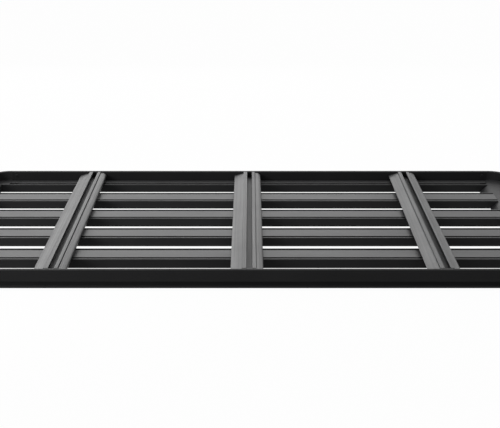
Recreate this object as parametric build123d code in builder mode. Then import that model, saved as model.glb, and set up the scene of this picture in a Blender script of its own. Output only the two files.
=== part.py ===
"""Flat platform roof rack: lengthwise slats, slotted crossbars and a rail frame with round corners.

Millimetres. +X points to the front of the vehicle, +Y to its left and +Z up.
The origin is the middle of the flat underside.
"""

import os

from build123d import *

os.makedirs("parts", exist_ok=True)

# Overall plan
length = 1540.0
width = 1256.0
corner_radius = 56.0

# The slats make the lower layer, and the crossbars lie on them, just below the rails' tops
slat_height = 22.2
crossbar_height = 25.4
rail_rise = 0.6
rail_height = slat_height + crossbar_height + rail_rise

# Rail walls, lifted clear of the underside, with a crowned top and a channel that holds a trim strip
rail_wall = 14.0
rail_lift = 3.5
rail_crown = 2.2
rail_skin = 2.4
channel_bottom = 8.8
channel_height = 9.6
channel_depth = 7.0
channel_rounding = 1.5
strip_inset = 1.5

# Side rails: a trough between the wall and a slotted edge
shelf_reach = 91.5
trough_skin = 4.0
edge_box_width = 28.0

# End rails: the front one is a closed ramp, the rear one a narrow ledge
front_reach = 86.0
ramp_run = 22.0
ramp_rounding = 30.0
rear_reach = 32.0
end_rail_skin = 2.2

# Slats
slat_count = 4
slat_width = 121.5
slat_slot_inset = 15.5
slat_skin = 2.0
outer_gap_extra = 3.0

# Slots in the slats and in the edges of the side rails
slot_mouth = 13.0
slot_lip = 3.5
slot_cavity_width = 19.0
slot_cavity_depth = 8.0
slot_entry = 26.0
edge_rounding = 4.0
small_rounding = 0.8

# Housing of the channel for foot brackets, in each side rail's trough, with a sloping inner edge
housing_width = 31.0
housing_slope_run = 7.5
housing_slope_drop = 1.8
housing_skin = 2.0
foot_channel_offset = 38.5
foot_mouth = 12.0
foot_lip = 3.0
foot_cavity_width = 19.0
foot_cavity_depth = 7.0

# Crossbars: a slotted core with a long rear wing and a round nose
crossbar_spacing = 463.0
core_front = 15.6
core_rear = 17.5
bar_slot_mouth = 14.0
bar_lip = 5.5
bar_cavity_width = 22.0
bar_cavity_depth = 12.0
rear_wing_tip = 44.3
rear_wing_crease = 27.0
rear_wing_tip_drop = 11.4
rear_wing_crease_drop = 6.8
rear_wing_root_drop = 4.5
rear_wing_tip_thickness = 1.6
nose_reach = 33.0
nose_top_drop = 3.0
nose_middle_drop = 11.5
nose_groove = 1.4
nose_groove_depth = 7.5
base_front = 24.0
base_rear = 20.0
rib_rounding = 1.0
bar_skin = 2.2
cap_thickness = 5.0

# Places worked out from the sizes above
half_length = length / 2
half_width = width / 2
straight_half_length = half_length - corner_radius
straight_half_width = half_width - corner_radius
wall_face = half_width - rail_wall
shelf_edge = half_width - shelf_reach
ramp_foot = half_length - front_reach
ramp_end = ramp_foot + ramp_run
ledge_edge = -half_length + rear_reach
slat_gap = (2 * (shelf_edge - outer_gap_extra) - slat_count * slat_width) / (slat_count + 1)
slat_pitch = slat_width + slat_gap
trough_floor = rail_lift + trough_skin
edge_slot_middle = shelf_edge + edge_box_width / 2
foot_middle = half_width - foot_channel_offset
housing_inner = foot_middle - housing_width / 2
housing_outer = foot_middle + housing_width / 2
channel_top = channel_bottom + channel_height
inner_radius = corner_radius - rail_wall
crossbar_places = {"rear": -crossbar_spacing, "middle": 0.0, "front": crossbar_spacing}
bar_end = wall_face - cap_thickness


def section_plane(x: float, y: float, z: float) -> Plane:
    """An upright plane across the vehicle's width, with +X to the right and +Z up."""
    return Plane(origin=(x, y, z), x_dir=(1, 0, 0), z_dir=(0, -1, 0))


def cut_slot(centre, face, mouth, lip, cavity_width, cavity_depth, into=-1):
    """Cut a T-shaped slot into the sketch being drawn, down (-1) or up (+1) from a face."""
    depth = lip + cavity_depth
    with Locations((centre, face + into * depth / 2)):
        Rectangle(mouth, depth, mode=Mode.SUBTRACT)
    with Locations((centre, face + into * (lip + cavity_depth / 2))):
        Rectangle(cavity_width, cavity_depth, mode=Mode.SUBTRACT)


def cut_chamber(left: float, right: float, bottom: float, top: float):
    """Cut a rectangular hollow out of the section being drawn."""
    with Locations(((left + right) / 2, (bottom + top) / 2)):
        Rectangle(abs(right - left), top - bottom, mode=Mode.SUBTRACT)


def cut_edge_slot(sketch: BuildSketch, centre: float):
    """Cut the slot of a slat's or side rail's edge and round the edges of its mouth."""
    cut_slot(centre, slat_height, slot_mouth, slot_lip, slot_cavity_width, slot_cavity_depth)
    mouth = sketch.vertices().filter_by_position(Axis.Y, slat_height - 0.01, slat_height + 0.01)
    fillet([v for v in mouth if abs(v.X - centre) < slot_mouth / 2 + small_rounding], small_rounding)


def hollow_edge(centre: float):
    """Cut the chamber below the slot of a slat's or side rail's edge."""
    slot_floor = slat_height - slot_lip - slot_cavity_depth
    half_cavity = slot_cavity_width / 2
    cut_chamber(centre - half_cavity, centre + half_cavity, slat_skin, slot_floor - slat_skin)


def draw_wall(outer: float, inward: int):
    """Add a rail wall with a crowned top to the sketch being drawn."""
    inner = outer + inward * rail_wall
    shoulder = rail_height - rail_crown
    with BuildLine() as outline:
        Polyline((outer, shoulder), (outer, rail_lift), (inner, rail_lift), (inner, shoulder))
        ThreePointArc((inner, shoulder), ((outer + inner) / 2, rail_height), (outer, shoulder))
    make_face(outline.edges())


def cut_channel(sketch: BuildSketch, outer: float, inward: int):
    """Cut the trim strip's channel into a wall's outer face and round the channel's edges."""
    cut_chamber(outer, outer + inward * channel_depth, channel_bottom, channel_top)
    face_edges = sketch.vertices().filter_by_position(Axis.X, outer - 0.01, outer + 0.01)
    fillet(face_edges.sort_by(Axis.Y)[1:3], channel_rounding)


def hollow_wall(outer: float, inward: int):
    """Cut the chamber of a rail wall, above its outer channel."""
    ceiling = rail_height - rail_crown - rail_skin
    cut_chamber(
        outer + inward * rail_skin, outer + inward * (rail_wall - rail_skin),
        channel_top + rail_skin, ceiling,
    )


def draw_ramp(sketch: BuildSketch):
    """Draw the front foot's section: a ramp that rounds over into a flat top."""
    with BuildLine() as outline:
        Polyline(
            (half_length - rail_wall, 0),
            (ramp_foot, 0),
            (ramp_end, slat_height),
            (half_length - rail_wall, slat_height),
            close=True,
        )
    make_face(outline.edges())
    fillet(sketch.vertices().sort_by(lambda v: abs(v.X - ramp_end) + slat_height - v.Y)[0], ramp_rounding)


def cut_ramp():
    """End the part being made on the ramp, between the side walls."""
    with BuildSketch(Plane.XZ) as ramp:
        draw_ramp(ramp)
        with Locations((ramp_end, 0)):
            Rectangle(half_length - ramp_end, rail_height, align=Align.MIN)
    extrude(ramp.sketch, amount=wall_face, both=True, mode=Mode.SUBTRACT)


def draw_front_foot():
    """Add the front rail's hollow foot to the sketch being drawn."""
    with BuildSketch() as foot:
        draw_ramp(foot)
        offset(amount=-end_rail_skin, kind=Kind.INTERSECTION, mode=Mode.SUBTRACT)
    add(foot.sketch)


def draw_crossbar():
    """Draw the crossbar's section: X from the middle of its slot, Y up from the slats."""
    top = crossbar_height
    groove_outer = core_front + nose_groove
    nose_top = top - nose_top_drop
    nose_middle = top - nose_middle_drop
    with BuildLine() as outline:
        Polyline(
            (-base_rear, 0),
            (-rear_wing_tip, top - rear_wing_tip_drop - rear_wing_tip_thickness),
            (-rear_wing_tip, top - rear_wing_tip_drop),
            (-rear_wing_crease, top - rear_wing_crease_drop),
            (-core_rear, top - rear_wing_root_drop),
            (-core_rear, top),
            (core_front, top),
            (core_front, top - nose_groove_depth),
            (groove_outer, top - nose_groove_depth),
            (groove_outer, nose_top),
        )
        EllipticalCenterArc(
            (groove_outer, nose_middle), nose_reach - groove_outer, nose_top - nose_middle,
            start_angle=0, arc_size=90,
        )
        EllipticalCenterArc(
            (base_front, nose_middle), nose_reach - base_front, nose_middle,
            start_angle=270, arc_size=90,
        )
        Line((base_front, 0), (-base_rear, 0))
    make_face(outline.edges())


def cut_bar_chambers():
    """Cut the hollows of a crossbar: below its slot, in its nose and in its wing."""
    core = bar_cavity_width / 2
    slot_floor = crossbar_height - bar_lip - bar_cavity_depth
    nose_ceiling = crossbar_height - nose_groove_depth - bar_skin
    cut_chamber(-core, core, bar_skin, slot_floor - bar_skin)
    cut_chamber(core + bar_skin, base_front + bar_skin, bar_skin, nose_ceiling)
    tip_underside = crossbar_height - rear_wing_tip_drop - rear_wing_tip_thickness
    slope = tip_underside / (rear_wing_tip - base_rear)
    wing_ceiling = crossbar_height - rear_wing_root_drop - bar_skin
    with BuildLine() as outline:
        Polyline(
            (-core - bar_skin, bar_skin),
            (-base_rear, bar_skin),
            (-rear_wing_crease, slope * (rear_wing_crease - base_rear) + bar_skin),
            (-rear_wing_crease, crossbar_height - rear_wing_crease_drop - bar_skin),
            (-core_rear, wing_ceiling),
            (-core - bar_skin, wing_ceiling),
            close=True,
        )
    make_face(outline.edges(), mode=Mode.SUBTRACT)


def export(part: Part, name: str):
    """Label a finished piece and write it as its own file."""
    part.label = name
    export_step(part, f"parts/{name}.step")


# Side rails, the right one a mirror image of the left
with BuildPart() as side_rail_left:
    with BuildSketch(Plane.YZ.offset(-straight_half_length)) as rail_section:
        draw_wall(half_width, -1)
        cut_channel(rail_section, half_width, -1)
        with BuildLine():
            Polyline(
                (wall_face, rail_lift),
                (shelf_edge + edge_box_width, rail_lift),
                (shelf_edge + edge_box_width, 0),
                (shelf_edge, 0),
                (shelf_edge, slat_height),
                (shelf_edge + edge_box_width, slat_height),
                (shelf_edge + edge_box_width, trough_floor),
                (wall_face, trough_floor),
                close=True,
            )
        make_face()
        edge_top = rail_section.vertices().filter_by_position(Axis.Y, slat_height - 0.01, slat_height + 0.01)
        fillet(edge_top, edge_rounding)
        cut_edge_slot(rail_section, edge_slot_middle)
        with BuildLine():
            Polyline(
                (housing_inner, 0),
                (housing_outer, 0),
                (housing_outer, slat_height),
                (housing_inner + housing_slope_run, slat_height),
                (housing_inner, slat_height - housing_slope_drop),
                close=True,
            )
        make_face()
        cut_slot(foot_middle, 0, foot_mouth, foot_lip, foot_cavity_width, foot_cavity_depth, into=1)
        cut_chamber(
            housing_inner + housing_skin, housing_outer - housing_skin,
            foot_lip + foot_cavity_depth + housing_skin, slat_height - housing_slope_drop - housing_skin,
        )
        hollow_wall(half_width, -1)
        hollow_edge(edge_slot_middle)
    extrude(amount=2 * straight_half_length)
    cut_ramp()
    for end_sign in (-1, 1):
        entry_middle = end_sign * (straight_half_length - slot_entry / 2)
        with Locations((entry_middle, edge_slot_middle, slat_height)):
            Box(
                slot_entry, slot_cavity_width / 2, 2 * slot_lip,
                align=(Align.CENTER, Align.MIN, Align.CENTER), mode=Mode.SUBTRACT,
            )
with BuildPart() as side_rail_right:
    mirror(side_rail_left.part, about=Plane.XZ)
export(side_rail_left.part, "side_rail_left")
export(side_rail_right.part, "side_rail_right")

# Front rail, with the ramp that closes the slats' front ends
with BuildPart() as front_rail:
    with BuildSketch(Plane.XZ) as front_section:
        draw_wall(half_length, -1)
        cut_channel(front_section, half_length, -1)
        hollow_wall(half_length, -1)
        draw_front_foot()
    extrude(amount=straight_half_width, both=True)
export(front_rail.part, "front_rail")

# Rear rail, with the hollow ledge that the slats butt against
with BuildPart() as rear_rail:
    with BuildSketch(Plane.XZ) as rear_section:
        draw_wall(-half_length, 1)
        cut_channel(rear_section, -half_length, 1)
        hollow_wall(-half_length, 1)
    extrude(amount=straight_half_width, both=True)
    with BuildSketch(Plane.XZ):
        with Locations((-half_length + rail_wall, 0)):
            Rectangle(rear_reach - rail_wall, slat_height, align=Align.MIN)
        cut_chamber(
            -half_length + rail_wall + end_rail_skin, ledge_edge - end_rail_skin,
            end_rail_skin, slat_height - end_rail_skin,
        )
    extrude(amount=shelf_edge, both=True)
export(rear_rail.part, "rear_rail")

# Corner castings: a foot up to the slats' height inside a quarter of a round wall
for side, mirrored in {"left": False, "right": True}.items():
    for end, end_sign in {"front": 1, "rear": -1}.items():
        centre = (end_sign * straight_half_length, straight_half_width, 0)
        with BuildPart() as corner:
            with BuildSketch(Plane.XY):
                with Locations(centre[:2]):
                    Circle(inner_radius)
                    Rectangle(
                        corner_radius, corner_radius, mode=Mode.INTERSECT,
                        align=(Align.MIN if end == "front" else Align.MAX, Align.MIN),
                    )
                if end == "front":
                    with Locations((ramp_foot, straight_half_width)):
                        Rectangle(straight_half_length - ramp_foot, inner_radius, align=Align.MIN)
                else:
                    with Locations((-straight_half_length, shelf_edge)):
                        Rectangle(
                            inner_radius, straight_half_width - shelf_edge, align=(Align.MAX, Align.MIN)
                        )
            extrude(amount=slat_height)
            if end == "front":
                with BuildSketch(Plane.XZ) as ramp:
                    draw_ramp(ramp)
                extrude(amount=half_width, both=True, mode=Mode.INTERSECT)
            with BuildSketch(Plane(origin=centre, x_dir=(0, 1, 0), z_dir=(1, 0, 0))):
                draw_wall(corner_radius, -1)
            revolve(axis=Axis(centre, (0, 0, 1)), revolution_arc=-end_sign * 90)
            if mirrored:
                mirror(about=Plane.XZ, mode=Mode.REPLACE)
        export(corner.part, f"corner_{end}_{side}")

# Slats, counted from the right
for number in range(slat_count):
    middle = (number - (slat_count - 1) / 2) * slat_pitch
    slot_offset = slat_width / 2 - slat_slot_inset
    chamber_end = slot_offset - slot_cavity_width / 2 - slat_skin
    with BuildPart() as slat:
        with BuildSketch(Plane.YZ.offset(ledge_edge)) as slat_section:
            with Locations((middle, slat_height / 2)):
                Rectangle(slat_width, slat_height)
            fillet(slat_section.vertices().group_by(Axis.Y)[-1], edge_rounding)
            for slot_middle in (middle - slot_offset, middle + slot_offset):
                cut_edge_slot(slat_section, slot_middle)
            for slot_middle in (middle - slot_offset, middle + slot_offset):
                hollow_edge(slot_middle)
            cut_chamber(middle - chamber_end, middle - slat_skin / 2, slat_skin, slat_height - slat_skin)
            cut_chamber(middle + slat_skin / 2, middle + chamber_end, slat_skin, slat_height - slat_skin)
        extrude(amount=ramp_end - ledge_edge)
        cut_ramp()
    export(slat.part, f"slat_{number + 1}")

# Crossbars, each with a cap at both ends that meets the side rail's wall
for place, bar_x in crossbar_places.items():
    with BuildPart() as crossbar:
        with BuildSketch(section_plane(bar_x, 0, slat_height)) as bar_section:
            draw_crossbar()
            cut_bar_chambers()
            cut_slot(0, crossbar_height, bar_slot_mouth, bar_lip, bar_cavity_width, bar_cavity_depth)
            fillet(bar_section.vertices().group_by(Axis.Y)[-1], rib_rounding)
        extrude(amount=bar_end, both=True)
    export(crossbar.part, f"crossbar_{place}")

    for side, cap_start in {"left": wall_face, "right": -bar_end}.items():
        with BuildPart() as cap:
            with BuildSketch(section_plane(bar_x, cap_start, slat_height)):
                draw_crossbar()
                with Locations((0, crossbar_height)):
                    Rectangle(
                        bar_slot_mouth, bar_lip + bar_cavity_depth,
                        mode=Mode.SUBTRACT, align=(Align.CENTER, Align.MAX),
                    )
            extrude(amount=cap_thickness)
        export(cap.part, f"crossbar_{place}_cap_{side}")

# Trim strips in the outer channels
strip_depth = channel_depth - strip_inset
with BuildPart() as strip_left:
    with BuildSketch(Plane.YZ):
        with Locations((half_width - channel_depth, channel_bottom)):
            Rectangle(strip_depth, channel_height, align=Align.MIN)
    extrude(amount=straight_half_length, both=True)
with BuildPart() as strip_right:
    mirror(strip_left.part, about=Plane.XZ)
with BuildPart() as strip_front:
    with BuildSketch(Plane.XZ):
        with Locations((half_length - channel_depth, channel_bottom)):
            Rectangle(strip_depth, channel_height, align=Align.MIN)
    extrude(amount=straight_half_width, both=True)
with BuildPart() as strip_rear:
    mirror(strip_front.part, about=Plane.YZ)
export(strip_left.part, "strip_left")
export(strip_right.part, "strip_right")
export(strip_front.part, "strip_front")
export(strip_rear.part, "strip_rear")
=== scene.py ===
"""Flat platform roof rack: finishes, fasteners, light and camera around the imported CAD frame.

Metres, in the CAD frame: +X points to the front of the vehicle, +Y to its left and +Z up.
"""

import logging
import math
from collections.abc import Iterable
from dataclasses import dataclass
from enum import Enum

import bmesh
import bpy
from mathutils import Matrix, Vector

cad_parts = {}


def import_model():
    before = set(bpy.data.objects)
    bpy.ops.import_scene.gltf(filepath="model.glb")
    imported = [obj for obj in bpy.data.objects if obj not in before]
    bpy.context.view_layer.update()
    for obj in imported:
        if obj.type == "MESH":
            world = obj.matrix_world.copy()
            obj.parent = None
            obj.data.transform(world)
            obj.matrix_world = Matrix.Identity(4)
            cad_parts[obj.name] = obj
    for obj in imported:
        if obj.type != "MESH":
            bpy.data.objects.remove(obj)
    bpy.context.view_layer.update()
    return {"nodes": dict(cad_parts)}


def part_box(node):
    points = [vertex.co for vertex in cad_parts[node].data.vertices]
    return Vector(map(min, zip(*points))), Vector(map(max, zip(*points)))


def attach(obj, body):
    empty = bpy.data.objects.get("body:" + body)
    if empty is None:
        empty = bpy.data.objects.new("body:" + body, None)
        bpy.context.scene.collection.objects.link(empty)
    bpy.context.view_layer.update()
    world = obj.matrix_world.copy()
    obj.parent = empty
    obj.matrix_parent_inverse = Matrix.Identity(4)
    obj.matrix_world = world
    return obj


log = logging.getLogger("roof_rack")

Colour = tuple[float, float, float]
Point = tuple[float, float, float]
Socket = bpy.types.NodeSocket
Source = Socket | float | tuple
Nodes = dict[str, bpy.types.Object]

WHITE: Colour = (1.0, 1.0, 1.0)
OPAQUE = 1.0
NOISE_MEAN = 0.5
SHARP_ANGLE = math.radians(35.0)
HEXAGON_TURN = math.radians(60.0)

# The Mix node repeats its sockets for each type of data, so those for colours go by number
MIX_COLOUR_INPUTS = (0, 6, 7)
MIX_COLOUR_RESULT = 2


class Side(Enum):
    """The two long sides of the rack, with the sign of their Y."""

    LEFT = 1
    RIGHT = -1


class End(Enum):
    """The two ends of the rack, with the sign of their X."""

    FRONT = 1
    REAR = -1


class Place(Enum):
    """The places of the crossbars along the vehicle."""

    REAR = "rear"
    MIDDLE = "middle"
    FRONT = "front"


class Run(Enum):
    """The way an extrusion runs, with the stretch of its die lines in X and Y."""

    LENGTHWISE = (0.004, 1.0)
    CROSSWISE = (1.0, 0.004)


class SocketKind(Enum):
    """What a node group's output carries."""

    VALUE = "NodeSocketFloat"
    VECTOR = "NodeSocketVector"


def by_name(sockets: Iterable[Socket]) -> dict[str, Socket]:
    """Give a node's sockets by their names."""
    return {socket.name: socket for socket in sockets}


class ShaderTree:
    """Adds and joins the nodes of one shader tree."""

    def __init__(self, tree: bpy.types.NodeTree) -> None:
        """Keep the node tree of a material, a world or a group that is being built."""
        self.tree = tree

    def add(self, kind: str, **settings: object) -> bpy.types.Node:
        """Add a node and set its properties.

        Args:
            kind: The node's type name, such as ShaderNodeMath.
            **settings: Properties of the node, such as operation.

        Returns:
            The new node.
        """
        node = self.tree.nodes.new(kind)
        for name, value in settings.items():
            setattr(node, name, value)
        return node

    def feed(self, socket: Socket, source: Source) -> None:
        """Join a source to a socket, or set the socket to a plain value.

        Args:
            socket: The input to fill.
            source: An output socket, a number, a vector or a colour.
        """
        if isinstance(source, Socket):
            self.tree.links.new(source, socket)
        elif socket.type == "RGBA":
            socket.default_value = (*source, OPAQUE)
        else:
            socket.default_value = source

    def math(self, operation: str, *values: Source, clamp: bool = False) -> Socket:
        """Add a Math node.

        Args:
            operation: The node's operation.
            *values: Its inputs, as sockets or numbers.
            clamp: Whether the result is kept between 0 and 1.

        Returns:
            The result's socket.
        """
        node = self.add("ShaderNodeMath", operation=operation, use_clamp=clamp)
        for socket, value in zip(node.inputs, values):
            self.feed(socket, value)
        return node.outputs[0]

    def add_share(self, base: Source, extra: Socket, share: float, clamp: bool = False) -> Socket:
        """Add a share of one value to another, kept between 0 and 1 if it is clamped."""
        return self.math("MULTIPLY_ADD", extra, share, base, clamp=clamp)

    def swing(self, middle: float, pattern: Socket, width: float) -> Socket:
        """Let a pattern from 0 to 1 move a value around its middle, over a width in all."""
        return self.add_share(middle - width / 2, pattern, width)

    def remap(
        self, value: Socket, low: float, high: float, to_low: float = 0.0, to_high: float = 1.0
    ) -> Socket:
        """Map a value from one range to another, with both ends held.

        Args:
            value: The value's socket.
            low: Start of the range that is read.
            high: End of the range that is read.
            to_low: Result at the start.
            to_high: Result at the end.

        Returns:
            The result's socket.
        """
        node = self.add("ShaderNodeMapRange", clamp=True)
        names = ("Value", "From Min", "From Max", "To Min", "To Max")
        for name, source in zip(names, (value, low, high, to_low, to_high)):
            self.feed(node.inputs[name], source)
        return node.outputs["Result"]

    def mix_colour(self, share: Socket, first: Source, second: Source) -> Socket:
        """Mix two colours.

        Args:
            share: How much of the second colour shows.
            first: Colour at 0.
            second: Colour at 1.

        Returns:
            The mixed colour's socket.
        """
        node = self.add("ShaderNodeMix", data_type="RGBA")
        for number, source in zip(MIX_COLOUR_INPUTS, (share, first, second)):
            self.feed(node.inputs[number], source)
        return node.outputs[MIX_COLOUR_RESULT]

    def mix_shader(self, share: Socket, first: Socket, second: Socket) -> Socket:
        """Mix two shaders.

        Args:
            share: How much of the second shader shows.
            first: Shader at 0.
            second: Shader at 1.

        Returns:
            The mixed shader's socket.
        """
        node = self.add("ShaderNodeMixShader")
        for socket, source in zip(node.inputs, (share, first, second)):
            self.feed(socket, source)
        return node.outputs[0]

    def place(self) -> Socket:
        """Add the Object coordinates."""
        return self.add("ShaderNodeTexCoord").outputs["Object"]

    def stretched_place(self, scale: Point) -> Socket:
        """Add Object coordinates that are scaled along each axis.

        Args:
            scale: The factors for X, Y and Z.

        Returns:
            The scaled coordinates' socket.
        """
        node = self.add("ShaderNodeMapping")
        self.feed(node.inputs["Vector"], self.place())
        self.feed(node.inputs["Scale"], scale)
        return node.outputs["Vector"]

    def split(self, vector: Socket) -> dict[str, Socket]:
        """Split a vector into its parts.

        Args:
            vector: The vector's socket.

        Returns:
            The sockets of X, Y and Z by name.
        """
        node = self.add("ShaderNodeSeparateXYZ")
        self.feed(node.inputs[0], vector)
        return by_name(node.outputs)

    def noise(self, where: Socket, scale: Source, detail: float, rough: float) -> Socket:
        """Add a noise pattern.

        Args:
            where: The coordinates it follows.
            scale: Its scale, in waves for each metre.
            detail: Its number of finer layers.
            rough: How strong the finer layers are.

        Returns:
            The pattern's value socket.
        """
        node = self.add("ShaderNodeTexNoise")
        names = ("Vector", "Scale", "Detail", "Roughness")
        for name, source in zip(names, (where, scale, detail, rough)):
            self.feed(node.inputs[name], source)
        return node.outputs["Fac"]

    def group(self, group: bpy.types.NodeTree, **values: Source) -> dict[str, Socket]:
        """Place a node group and fill its inputs.

        Args:
            group: The group to place.
            **values: Inputs by name, with spaces written as underscores.

        Returns:
            The group's outputs by name.
        """
        node = self.add("ShaderNodeGroup", node_tree=group)
        for name, source in values.items():
            self.feed(node.inputs[name.replace("_", " ")], source)
        return by_name(node.outputs)


class MaterialTree(ShaderTree):
    """The shader tree of a new material, around its Principled BSDF."""

    def __init__(self, name: str) -> None:
        """Make a material that holds only a Principled BSDF and its output.

        Args:
            name: The material's name.
        """
        self.material = bpy.data.materials.new(name)
        self.material.use_nodes = True
        super().__init__(self.material.node_tree)
        self.surface = self.tree.nodes["Principled BSDF"]

    def coat(self, colour: Source, rough: Source, specular: float) -> None:
        """Give the surface its colour and its gloss.

        Args:
            colour: The base colour.
            rough: The roughness.
            specular: The specular level, which is the same all over.
        """
        self.feed(self.surface.inputs["Base Color"], colour)
        self.feed(self.surface.inputs["Roughness"], rough)
        self.surface.inputs["Specular IOR Level"].default_value = specular

    def relief(self, height: Socket, depth: float, normal: Socket | None = None) -> None:
        """Give the surface the relief of a height pattern.

        Args:
            height: The pattern.
            depth: How deep a height of 1 is, in metres.
            normal: The normal that the relief is laid on, if it isn't the mesh's own.
        """
        bump = self.add("ShaderNodeBump")
        bump.inputs["Strength"].default_value = 1.0
        bump.inputs["Distance"].default_value = depth
        self.feed(bump.inputs["Height"], height)
        if normal is not None:
            self.feed(bump.inputs["Normal"], normal)
        self.feed(self.surface.inputs["Normal"], bump.outputs["Normal"])


class SurfaceGroups:
    """The shared effects that the finishes are built from, each as a node group."""

    def __init__(self) -> None:
        """Build every group once."""
        self.coat_texture = self._coat_texture()
        self.die_lines = self._die_lines()
        self.slot_shade = self._slot_shade()
        self.moulded_grain = self._moulded_grain()
        self.edge_softness = self._edge_softness()
        self.handling = self._handling()
        self.top_bloom = self._top_bloom()

    @staticmethod
    def _start(
        name: str, inputs: dict[str, float], outputs: dict[str, SocketKind]
    ) -> tuple[ShaderTree, dict[str, Socket], dict[str, Socket]]:
        """Make an empty group with its sockets.

        Args:
            name: The group's name.
            inputs: Input names with their usual values.
            outputs: Output names with what they carry.

        Returns:
            The group's tree, its given values by name and its results by name.
        """
        tree = bpy.data.node_groups.new(name, "ShaderNodeTree")
        for label, value in inputs.items():
            socket = tree.interface.new_socket(
                label, in_out="INPUT", socket_type=SocketKind.VALUE.value
            )
            socket.default_value = value
        for label, kind in outputs.items():
            tree.interface.new_socket(label, in_out="OUTPUT", socket_type=kind.value)
        shader = ShaderTree(tree)
        given = by_name(shader.add("NodeGroupInput").outputs)
        result = by_name(shader.add("NodeGroupOutput").inputs)
        return shader, given, result

    def _coat_texture(self) -> bpy.types.NodeTree:
        """Build the fine skin of a powder coat.

        Returns:
            A group that gives the skin's height, its tone and its gloss spots.
        """
        shader, given, result = self._start(
            "coat_texture",
            {"Peel Scale": 420.0, "Speck Scale": 2600.0},
            {"Height": SocketKind.VALUE, "Tone": SocketKind.VALUE, "Gloss": SocketKind.VALUE},
        )
        where = shader.place()
        peel = shader.noise(where, given["Peel Scale"], detail=2.0, rough=0.45)
        speck = shader.noise(where, given["Speck Scale"], detail=1.0, rough=0.5)
        drift = shader.noise(where, scale=6.0, detail=3.0, rough=0.55)
        tone = shader.math("ADD", drift, peel)
        shader.feed(result["Height"], shader.add_share(peel, speck, share=0.35))
        shader.feed(result["Tone"], shader.remap(tone, low=0.75, high=1.25))
        shader.feed(result["Gloss"], shader.remap(speck, low=0.25, high=0.75))
        return shader.tree

    def _die_lines(self) -> bpy.types.NodeTree:
        """Build the fine lines that an extrusion's die leaves along its run.

        Returns:
            A group that gives the lines' height.
        """
        shader, given, result = self._start(
            "die_lines",
            {"X Stretch": 1.0, "Y Stretch": 1.0, "Line Scale": 1100.0},
            {"Height": SocketKind.VALUE},
        )
        where = shader.split(shader.place())
        drawn = shader.add("ShaderNodeCombineXYZ")
        for axis in ("X", "Y"):
            along = shader.math("MULTIPLY", where[axis], given[f"{axis} Stretch"])
            shader.feed(drawn.inputs[axis], along)
        shader.feed(drawn.inputs["Z"], where["Z"])
        lines = shader.noise(drawn.outputs[0], given["Line Scale"], detail=2.0, rough=0.5)
        shader.feed(result["Height"], lines)
        return shader.tree

    def _slot_shade(self) -> bpy.types.NodeTree:
        """Mark the inside of the crossbars' slots, where the coat lies thin and rough.

        Returns:
            A group that gives a mask that is 1 inside the slots.
        """
        shader, given, result = self._start(
            "slot_shade",
            {"Spacing": 0.463, "Half Width": 0.0112, "Ceiling": 0.0325},
            {"Inside": SocketKind.VALUE},
        )
        where = shader.split(shader.place())
        half = shader.math("DIVIDE", given["Spacing"], 2.0)
        minus_half = shader.math("MULTIPLY", half, -1.0)
        from_middle = shader.math("ABSOLUTE", shader.math("WRAP", where["X"], half, minus_half))
        between = shader.math("LESS_THAN", from_middle, given["Half Width"])
        depth = shader.math("SUBTRACT", given["Ceiling"], where["Z"])
        below = shader.remap(depth, low=-0.001, high=0.002)
        shader.feed(result["Inside"], shader.math("MULTIPLY", between, below))
        return shader.tree

    def _moulded_grain(self) -> bpy.types.NodeTree:
        """Build the leather-like grain of a moulding.

        Returns:
            A group that gives the grain's height and the tone of its valleys.
        """
        shader, given, result = self._start(
            "moulded_grain",
            {"Cell Scale": 900.0},
            {"Height": SocketKind.VALUE, "Tone": SocketKind.VALUE},
        )
        where = shader.place()
        cells = shader.add("ShaderNodeTexVoronoi", feature="SMOOTH_F1")
        shader.feed(cells.inputs["Vector"], where)
        shader.feed(cells.inputs["Scale"], given["Cell Scale"])
        uneven = shader.noise(where, scale=260.0, detail=3.0, rough=0.5)
        height = shader.add_share(cells.outputs["Distance"], uneven, share=0.6)
        shader.feed(result["Height"], height)
        shader.feed(result["Tone"], shader.remap(height, low=0.3, high=1.0))
        return shader.tree

    def _edge_softness(self) -> bpy.types.NodeTree:
        """Build the rounding of sharp edges and a mask along them.

        Returns:
            A group that gives a softened normal and a mask that is 1 on edges.
        """
        shader, given, result = self._start(
            "edge_softness",
            {"Radius": 0.0006},
            {"Normal": SocketKind.VECTOR, "Edge": SocketKind.VALUE},
        )
        bevel = shader.add("ShaderNodeBevel", samples=6)
        shader.feed(bevel.inputs["Radius"], given["Radius"])
        likeness = shader.add("ShaderNodeVectorMath", operation="DOT_PRODUCT")
        shader.feed(likeness.inputs[0], bevel.outputs["Normal"])
        shader.feed(likeness.inputs[1], shader.add("ShaderNodeNewGeometry").outputs["Normal"])
        shader.feed(result["Normal"], bevel.outputs["Normal"])
        shader.feed(result["Edge"], shader.remap(likeness.outputs["Value"], low=0.96, high=0.78))
        return shader.tree

    def _handling(self) -> bpy.types.NodeTree:
        """Build the faint dull patches that wiping and packing leave.

        Returns:
            A group that gives a mask of dull patches.
        """
        shader, given, result = self._start(
            "handling",
            {"Patch Scale": 9.0},
            {"Dull": SocketKind.VALUE},
        )
        where = shader.stretched_place((0.35, 1.0, 1.0))
        patches = shader.noise(where, given["Patch Scale"], detail=5.0, rough=0.6)
        shader.feed(result["Dull"], shader.remap(patches, low=0.45, high=0.75))
        return shader.tree

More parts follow.
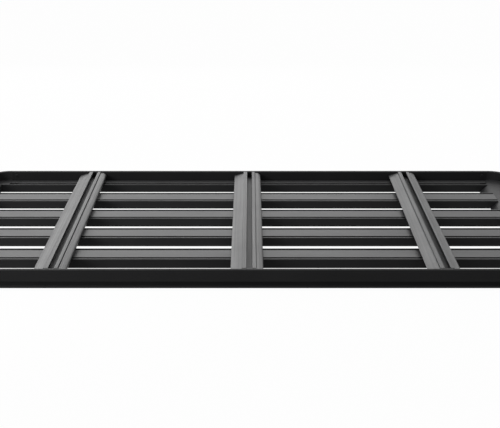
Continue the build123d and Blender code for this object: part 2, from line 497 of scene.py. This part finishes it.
    def _top_bloom(self) -> bpy.types.NodeTree:
        """Build painted light from above: faces that look up get a paler colour, broken by clouds
        and a fine grain.

        Returns:
            A group that gives a mask of the painted top light.
        """
        shader, given, result = self._start(
            "top_bloom",
            {"Cloud Scale": 18.0, "Grain Scale": 650.0},
            {"Bloom": SocketKind.VALUE},
        )
        # The mask follows the normal, so faces that look up get painted light
        slope = shader.split(shader.add("ShaderNodeNewGeometry").outputs["Normal"])
        upward = shader.remap(slope["Z"], low=0.5, high=0.95)
        where = shader.place()
        clouds = shader.noise(where, given["Cloud Scale"], detail=4.0, rough=0.6)
        grain = shader.noise(where, given["Grain Scale"], detail=3.0, rough=0.65)
        thinned = shader.math(
            "MULTIPLY",
            shader.remap(clouds, low=0.3, high=0.7, to_low=0.75),
            shader.remap(grain, low=0.35, high=0.65, to_low=0.7),
        )
        shader.feed(result["Bloom"], shader.math("MULTIPLY", upward, thinned))
        return shader.tree


@dataclass(frozen=True)
class PowderCoat:
    """Satin black powder coat over extruded aluminium."""

    name: str
    run: Run
    colour: Colour = (0.0095, 0.0095, 0.0100)
    pale: Colour = (0.0125, 0.0125, 0.0130)
    # Painted light: the paler colour that faces looking up get, standing in for light from above
    bloom: Colour = (0.0470, 0.0470, 0.0480)
    roughness: float = 0.42
    gloss_swing: float = 0.03
    dull_rise: float = 0.03
    specular: float = 0.088
    skin_depth: float = 0.00007
    line_share: float = 0.3
    edge_radius: float = 0.0005
    edge_paleness: float = 0.5

    def lines(self, shader: ShaderTree, groups: SurfaceGroups, **values: float) -> Socket:
        """Lay die lines along the run, with other inputs by name, and give their height."""
        x_stretch, y_stretch = self.run.value
        laid = shader.group(groups.die_lines, X_Stretch=x_stretch, Y_Stretch=y_stretch, **values)
        return laid["Height"]

    def roughen(self, shader: ShaderTree, groups: SurfaceGroups, rough: Socket) -> Socket:
        """Leave the roughness as the skin and its handling give it."""
        return rough

    def material(self, groups: SurfaceGroups) -> bpy.types.Material:
        """Build the coat's material.

        Args:
            groups: The shared effects.

        Returns:
            The material.
        """
        shader = MaterialTree(self.name)
        skin = shader.group(groups.coat_texture)
        edge = shader.group(groups.edge_softness, Radius=self.edge_radius)
        dull = shader.group(groups.handling)["Dull"]
        # Painted light from above: faces that look up are mixed towards a paler colour
        bloom = shader.group(groups.top_bloom)["Bloom"]
        tone = shader.add_share(skin["Tone"], edge["Edge"], self.edge_paleness, clamp=True)
        colour = shader.mix_colour(tone, self.colour, self.pale)
        gloss = shader.swing(self.roughness, skin["Gloss"], self.gloss_swing)
        rough = shader.add_share(gloss, dull, self.dull_rise)
        shader.coat(
            shader.mix_colour(bloom, colour, self.bloom),
            self.roughen(shader, groups, rough),
            self.specular,
        )
        height = shader.add_share(skin["Height"], self.lines(shader, groups), self.line_share)
        shader.relief(height, self.skin_depth, edge["Normal"])
        return shader.material


@dataclass(frozen=True)
class SlottedCoat(PowderCoat):
    """The crossbars' coat: glossier on the ribs and wings, thin and dull inside the slots."""

    specular: float = 0.14
    slot_dullness: float = 0.10
    streak_scale: float = 230.0
    streak_share: float = 0.22

    def roughen(self, shader: ShaderTree, groups: SurfaceGroups, rough: Socket) -> Socket:
        """Vary the roughness in streaks along the bars, and raise it inside the slots.

        Args:
            shader: The material's tree.
            groups: The shared effects.
            rough: The roughness that the skin and its handling give.

        Returns:
            The roughness that the surface gets.
        """
        streaks = self.lines(shader, groups, Line_Scale=self.streak_scale)
        swing = shader.math("SUBTRACT", streaks, NOISE_MEAN)
        streaked = shader.add_share(rough, swing, self.streak_share)
        inside = shader.group(groups.slot_shade)["Inside"]
        return shader.add_share(streaked, inside, self.slot_dullness)


@dataclass(frozen=True)
class Moulding:
    """Black moulded plastic with a fine grain."""

    name: str
    colour: Colour
    valley: Colour
    # Painted light: the paler colour that faces looking up get, standing in for light from above
    bloom: Colour = (0.0390, 0.0390, 0.0398)
    roughness: float = 0.50
    grain_swing: float = 0.05
    dull_rise: float = 0.04
    patch_scale: float = 14.0
    specular: float = 0.045
    grain_depth: float = 0.00006
    edge_radius: float = 0.0006

    def material(self, groups: SurfaceGroups) -> bpy.types.Material:
        """Build the moulding's material.

        Args:
            groups: The shared effects.

        Returns:
            The material.
        """
        shader = MaterialTree(self.name)
        grain = shader.group(groups.moulded_grain)
        edge = shader.group(groups.edge_softness, Radius=self.edge_radius)
        dull = shader.group(groups.handling, Patch_Scale=self.patch_scale)["Dull"]
        # Painted light from above: faces that look up are mixed towards a paler colour
        bloom = shader.group(groups.top_bloom)["Bloom"]
        colour = shader.mix_colour(grain["Tone"], self.colour, self.valley)
        rough = shader.swing(self.roughness, grain["Tone"], self.grain_swing)
        shader.coat(
            shader.mix_colour(bloom, colour, self.bloom),
            shader.add_share(rough, dull, self.dull_rise),
            self.specular,
        )
        shader.relief(grain["Height"], self.grain_depth, edge["Normal"])
        return shader.material


@dataclass(frozen=True)
class ScrewSteel:
    """Blackened steel with a fine skin, a little paler on its edges."""

    name: str = "screw_steel"
    colour: Colour = (0.012, 0.012, 0.013)
    worn: Colour = (0.030, 0.030, 0.031)
    roughness: float = 0.34
    gloss_rise: float = 0.08
    specular: float = 0.2
    peel_scale: float = 1800.0
    speck_scale: float = 6000.0
    skin_depth: float = 0.00001
    edge_radius: float = 0.0002

    def material(self, groups: SurfaceGroups) -> bpy.types.Material:
        """Build the steel's material.

        Args:
            groups: The shared effects.

        Returns:
            The material.
        """
        shader = MaterialTree(self.name)
        edge = shader.group(groups.edge_softness, Radius=self.edge_radius)
        skin = shader.group(
            groups.coat_texture, Peel_Scale=self.peel_scale, Speck_Scale=self.speck_scale
        )
        shader.coat(
            shader.mix_colour(edge["Edge"], self.colour, self.worn),
            shader.add_share(self.roughness, skin["Gloss"], self.gloss_rise),
            self.specular,
        )
        shader.relief(skin["Height"], self.skin_depth, edge["Normal"])
        return shader.material


@dataclass(frozen=True)
class Rubber:
    """Matt black extruded rubber, with the fine drag lines of its die."""

    name: str = "trim_rubber"
    colour: Colour = (0.0058, 0.0058, 0.0060)
    dusty: Colour = (0.0088, 0.0088, 0.0090)
    roughness: float = 0.62
    rough_swing: float = 0.1
    specular: float = 0.05
    line_scale: float = 1500.0
    line_stretch: Point = (0.02, 0.02, 1.0)
    line_depth: float = 0.00003
    patch_scale: float = 20.0

    def material(self, groups: SurfaceGroups) -> bpy.types.Material:
        """Build the rubber's material.

        Args:
            groups: The shared effects.

        Returns:
            The material.
        """
        shader = MaterialTree(self.name)
        where = shader.stretched_place(self.line_stretch)
        lines = shader.noise(where, self.line_scale, detail=2.0, rough=0.5)
        dull = shader.group(groups.handling, Patch_Scale=self.patch_scale)["Dull"]
        shader.coat(
            shader.mix_colour(dull, self.colour, self.dusty),
            shader.swing(self.roughness, lines, self.rough_swing),
            self.specular,
        )
        shader.relief(lines, self.line_depth)
        return shader.material


def dress(node: bpy.types.Object, material: bpy.types.Material) -> None:
    """Give a CAD node one finish all over.

    Args:
        node: The node's object.
        material: The finish.
    """
    node.data.materials.clear()
    node.data.materials.append(material)
    log.info("dressed %s in %s", node.name, material.name)


def add_piece(
    name: str, shape: bmesh.types.BMesh, material: bpy.types.Material
) -> None:
    """Make a finished mesh a piece of the rack.

    Args:
        name: The piece's name.
        shape: Its mesh, which is used up.
        material: Its finish.
    """
    for face in shape.faces:
        face.smooth = True
    mesh = bpy.data.meshes.new(name)
    shape.to_mesh(mesh)
    shape.free()
    mesh.set_sharp_from_angle(angle=SHARP_ANGLE)
    mesh.materials.append(material)
    piece = bpy.data.objects.new(name, mesh)
    bpy.context.scene.collection.objects.link(piece)
    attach(piece, "root")
    log.info("added %s in %s", name, material.name)


@dataclass
class RailFrame:
    """The four rails around the platform."""

    side_coat: bpy.types.Material
    end_coat: bpy.types.Material

    def build(self, nodes: Nodes) -> None:
        """Dress the rails.

        Args:
            nodes: The CAD nodes by name.
        """
        for side in Side:
            dress(nodes[f"side_rail_{side.name.lower()}"], self.side_coat)
        for end in End:
            dress(nodes[f"{end.name.lower()}_rail"], self.end_coat)


@dataclass
class Deck:
    """The slats that make the lower layer, and the crossbars that lie on them."""

    slat_coat: bpy.types.Material
    bar_coat: bpy.types.Material
    cap: bpy.types.Material
    slat_count: int = 4

    def build(self, nodes: Nodes) -> None:
        """Dress the slats, the crossbars and their caps.

        Args:
            nodes: The CAD nodes by name.
        """
        for number in range(1, self.slat_count + 1):
            dress(nodes[f"slat_{number}"], self.slat_coat)
        for place in Place:
            bar = f"crossbar_{place.value}"
            dress(nodes[bar], self.bar_coat)
            for side in Side:
                dress(nodes[f"{bar}_cap_{side.name.lower()}"], self.cap)


@dataclass(frozen=True)
class FlatScrew:
    """A thin-headed screw with a hexagon socket."""

    head_radius: float = 0.0044
    head_height: float = 0.0011
    skirt_height: float = 0.0004
    crown_radius: float = 0.0036
    socket_reach: float = 0.0020
    socket_depth: float = 0.0008
    dome_steps: int = 6
    segments: int = 48

    def _ring(
        self, shape: bmesh.types.BMesh, radius: float, height: float, six_sided: bool = False
    ) -> list[bmesh.types.BMEdge]:
        """Add one ring of the head.

        Args:
            shape: The mesh being built.
            radius: The ring's radius, or the reach of its flats.
            height: The ring's height over the seat.
            six_sided: Whether the ring is a hexagon.

        Returns:
            The ring's edges.
        """
        made = bmesh.ops.create_circle(
            shape, segments=self.segments, radius=radius, matrix=Matrix.Translation((0, 0, height))
        )
        if six_sided:
            for vert in made["verts"]:
                turn = math.atan2(vert.co.y, vert.co.x) % HEXAGON_TURN - HEXAGON_TURN / 2
                vert.co.xy /= math.cos(turn)
        return list({edge for vert in made["verts"] for edge in vert.link_edges})

    def _rings(self, shape: bmesh.types.BMesh) -> list[list[bmesh.types.BMEdge]]:
        """Add the rings of the head, from its seat over its dome to the socket's floor.

        Args:
            shape: The mesh being built.

        Returns:
            The edges of each ring, in order.
        """
        rings = [self._ring(shape, self.head_radius, 0.0)]
        dome_height = self.head_height - self.skirt_height
        dome_width = self.head_radius - self.crown_radius
        for step in range(self.dome_steps + 1):
            turn = math.radians(90.0) * step / self.dome_steps
            radius = self.crown_radius + dome_width * math.cos(turn)
            height = self.skirt_height + dome_height * math.sin(turn)
            rings.append(self._ring(shape, radius, height))
        for height in (self.head_height, self.head_height - self.socket_depth):
            rings.append(self._ring(shape, self.socket_reach, height, six_sided=True))
        return rings

    def build(
        self, name: str, place: Vector, outward: Vector, finish: bpy.types.Material
    ) -> None:
        """Add a screw that sits on a face.

        Args:
            name: The piece's name.
            place: The middle of its seat.
            outward: The direction that its head points to.
            finish: Its finish.
        """
        shape = bmesh.new()
        rings = self._rings(shape)
        for lower, upper in zip(rings, rings[1:]):
            bmesh.ops.bridge_loops(shape, edges=lower + upper)
        for ring in (rings[0], rings[-1]):
            bmesh.ops.contextual_create(shape, geom=ring)
        bmesh.ops.recalc_face_normals(shape, faces=shape.faces)
        turned = outward.to_track_quat("Z", "Y").to_matrix().to_4x4()
        seated = Matrix.Translation(place) @ turned
        bmesh.ops.transform(shape, matrix=seated, verts=shape.verts)
        add_piece(name, shape, finish)


@dataclass
class Corners:
    """The round corner castings, and the screws that hold them in the rails' hollow walls."""

    casting: bpy.types.Material
    steel: bpy.types.Material
    wall: float = 0.014
    screw_inset: float = 0.014
    screw_height: float = 0.0345
    screw: FlatScrew = FlatScrew()

    def build(self, nodes: Nodes) -> None:
        """Dress the castings and screw them to the rails.

        Args:
            nodes: The CAD nodes by name.
        """
        for end in End:
            for side in Side:
                corner = f"{end.name.lower()}_{side.name.lower()}"
                dress(nodes[f"corner_{corner}"], self.casting)
                self.fasten(corner, end.value, side.value)

    def fasten(self, corner: str, end: int, side: int) -> None:
        """Put one screw into each rail that meets at a corner.

        Args:
            corner: The corner's name.
            end: The sign of its X.
            side: The sign of its Y.
        """
        rail_end, rail_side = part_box("side_rail_left")[1][:2]
        front_end, front_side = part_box("front_rail")[1][:2]
        # The places at the front left corner, which the two signs carry to the other corners
        places = {
            "side": Vector((rail_end - self.screw_inset, rail_side - self.wall, self.screw_height)),
            "end": Vector((front_end - self.wall, front_side - self.screw_inset, self.screw_height)),
        }
        outwards = {"side": Vector((0, -side, 0)), "end": Vector((-end, 0, 0))}
        to_corner = Matrix.Diagonal((end, side, 1))
        for rail, place in places.items():
            self.screw.build(f"screw_{corner}_{rail}", to_corner @ place, outwards[rail], self.steel)


@dataclass
class TrimStrips:
    """The dark strips in the outer channels of the rails."""

    rubber: bpy.types.Material

    def build(self, nodes: Nodes) -> None:
        """Dress the strips among the CAD nodes."""
        for where in (*Side, *End):
            dress(nodes[f"strip_{where.name.lower()}"], self.rubber)


@dataclass(frozen=True)
class Softbox:
    """A soft rectangular lamp that the camera doesn't see."""

    name: str
    place: Point
    target: Point
    size: tuple[float, float]
    power: float
    spread: float = 180.0

    def build(self) -> None:
        """Add the lamp."""
        lamp = bpy.data.lights.new(self.name, "AREA")
        lamp.shape = "RECTANGLE"
        lamp.size, lamp.size_y = self.size
        lamp.energy = self.power
        lamp.spread = math.radians(self.spread)
        holder = bpy.data.objects.new(self.name, lamp)
        holder.location = self.place
        aim = Vector(self.target) - Vector(self.place)
        holder.rotation_euler = aim.to_track_quat("-Z", "Y").to_euler()
        holder.visible_camera = False
        bpy.context.scene.collection.objects.link(holder)


@dataclass(frozen=True)
class BackScreen:
    """A tall lit screen that stands behind the rack and faces it squarely."""

    name: str
    across: float
    width: float
    power: float
    distance: float = 3.6
    middle: float = 1.6
    height: float = 2.4

    def build(self) -> None:
        """Add the screen as a lamp."""
        place = (self.across, self.distance, self.middle)
        target = (self.across, 0.0, self.middle)
        Softbox(self.name, place, target, (self.width, self.height), self.power).build()


@dataclass
class Studio:
    """A pale floor, a white surround, soft lamps and the photograph's camera."""

    floor_half: float = 40.0
    floor_drop: float = 0.0006
    floor_white: float = 0.97
    floor_colour: Colour = (0.86, 0.86, 0.86)
    floor_roughness: float = 0.9
    floor_specular: float = 0.1
    ambient: float = 0.6
    lens: float = 126.97
    sensor_width: float = 36.0
    view_reach: float = 200.0
    camera_place: Point = (0.0015, -4.6052, 1.0213)
    camera_pitch: float = 11.947
    window: Softbox = Softbox(
        "left_window",
        place=(-2.6, -2.2, 1.3),
        target=(-0.75, 0.0, 0.0),
        size=(1.0, 1.0),
        power=8.5,
        spread=48.0,
    )
    screens: tuple[BackScreen, ...] = (
        BackScreen("back_left_screen", across=-1.8, width=2.4, power=30.0),
        BackScreen("back_middle_screen", across=0.0, width=1.2, power=12.0),
        BackScreen("back_right_screen", across=1.8, width=2.4, power=11.0),
    )

    @staticmethod
    def _seen(shader: ShaderTree) -> Socket:
        """Mark the rays that show the background itself.

        Args:
            shader: The tree to add to.

        Returns:
            A socket that is 1 for camera, glossy and transmission rays.
        """
        path = shader.add("ShaderNodeLightPath").outputs
        mirrored = shader.math("MAXIMUM", path["Is Glossy Ray"], path["Is Transmission Ray"])
        return shader.math("MAXIMUM", path["Is Camera Ray"], mirrored)

    def build_world(self) -> None:
        """Make a surround that looks white and lights the object at a plain level."""
        world = bpy.data.worlds.new("studio")
        world.use_nodes = True
        shader = ShaderTree(world.node_tree)
        light = world.node_tree.nodes["Background"]
        shader.feed(light.inputs["Color"], WHITE)
        shader.feed(light.inputs["Strength"], self.ambient)
        white = shader.add("ShaderNodeBackground")
        shader.feed(white.inputs["Color"], WHITE)
        blend = shader.mix_shader(self._seen(shader), light.outputs[0], white.outputs[0])
        shader.feed(world.node_tree.nodes["World Output"].inputs["Surface"], blend)
        bpy.context.scene.world = world

    def floor_material(self) -> bpy.types.Material:
        """Make a floor that looks white and keeps a faint shadow.

        Returns:
            The material.
        """
        shader = MaterialTree("studio_floor")
        shader.coat(self.floor_colour, self.floor_roughness, self.floor_specular)
        glow = shader.add("ShaderNodeEmission")
        share = shader.math("MULTIPLY", self._seen(shader), self.floor_white)
        blend = shader.mix_shader(share, shader.surface.outputs[0], glow.outputs[0])
        shader.feed(shader.tree.nodes["Material Output"].inputs["Surface"], blend)
        return shader.material

    def build_floor(self) -> None:
        """Lay the pale floor."""
        shape = bmesh.new()
        bmesh.ops.create_grid(shape, x_segments=1, y_segments=1, size=self.floor_half)
        bmesh.ops.translate(shape, verts=shape.verts, vec=(0, 0, -self.floor_drop))
        mesh = bpy.data.meshes.new("studio_floor")
        shape.to_mesh(mesh)
        shape.free()
        mesh.materials.append(self.floor_material())
        floor = bpy.data.objects.new("studio_floor", mesh)
        bpy.context.scene.collection.objects.link(floor)

    def build_camera(self) -> None:
        """Set the camera to the photograph's view."""
        lens = bpy.data.cameras.new("photo_camera")
        lens.sensor_fit = "HORIZONTAL"
        lens.sensor_width = self.sensor_width
        lens.lens = self.lens
        lens.clip_end = self.view_reach
        holder = bpy.data.objects.new("photo_camera", lens)
        holder.location = self.camera_place
        holder.rotation_euler = (math.radians(90.0 - self.camera_pitch), 0.0, 0.0)
        bpy.context.scene.collection.objects.link(holder)
        bpy.context.scene.camera = holder

    def build(self) -> None:
        """Set up the light, the floor and the camera."""
        bpy.context.scene.view_settings.view_transform = "Standard"
        self.build_world()
        self.build_floor()
        self.build_camera()
        for lamp in (self.window, *self.screens):
            lamp.build()


def main() -> None:
    """Build the dressed rack in its studio."""
    logging.basicConfig(level=logging.INFO, format="%(message)s")
    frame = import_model()
    groups = SurfaceGroups()
    slat_coat = PowderCoat("slat_coat", Run.LENGTHWISE).material(groups)
    # Painted shade: the side rails get a darker copy of the slats' coat, with less painted top light
    side_coat = PowderCoat(
        "side_rail_coat",
        Run.LENGTHWISE,
        colour=(0.0080, 0.0080, 0.0084),
        pale=(0.0106, 0.0106, 0.0110),
        bloom=(0.0360, 0.0360, 0.0367),
    ).material(groups)
    end_coat = PowderCoat(
        "end_rail_coat", Run.CROSSWISE, bloom=(0.0360, 0.0360, 0.0367), specular=0.036
    ).material(groups)
    bar_coat = SlottedCoat("crossbar_coat", Run.CROSSWISE).material(groups)
    casting = Moulding(
        "corner_moulding", colour=(0.0180, 0.0180, 0.0186), valley=(0.0140, 0.0140, 0.0145)
    ).material(groups)
    cap = Moulding(
        "cap_moulding", colour=(0.0140, 0.0140, 0.0145), valley=(0.0110, 0.0110, 0.0114)
    ).material(groups)
    rubber = Rubber().material(groups)
    steel = ScrewSteel().material(groups)
    for assembly in (
        RailFrame(side_coat, end_coat),
        Deck(slat_coat, bar_coat, cap),
        Corners(casting, steel),
        TrimStrips(rubber),
    ):
        assembly.build(frame["nodes"])
    Studio().build()


if __name__ == "__main__":
    main()
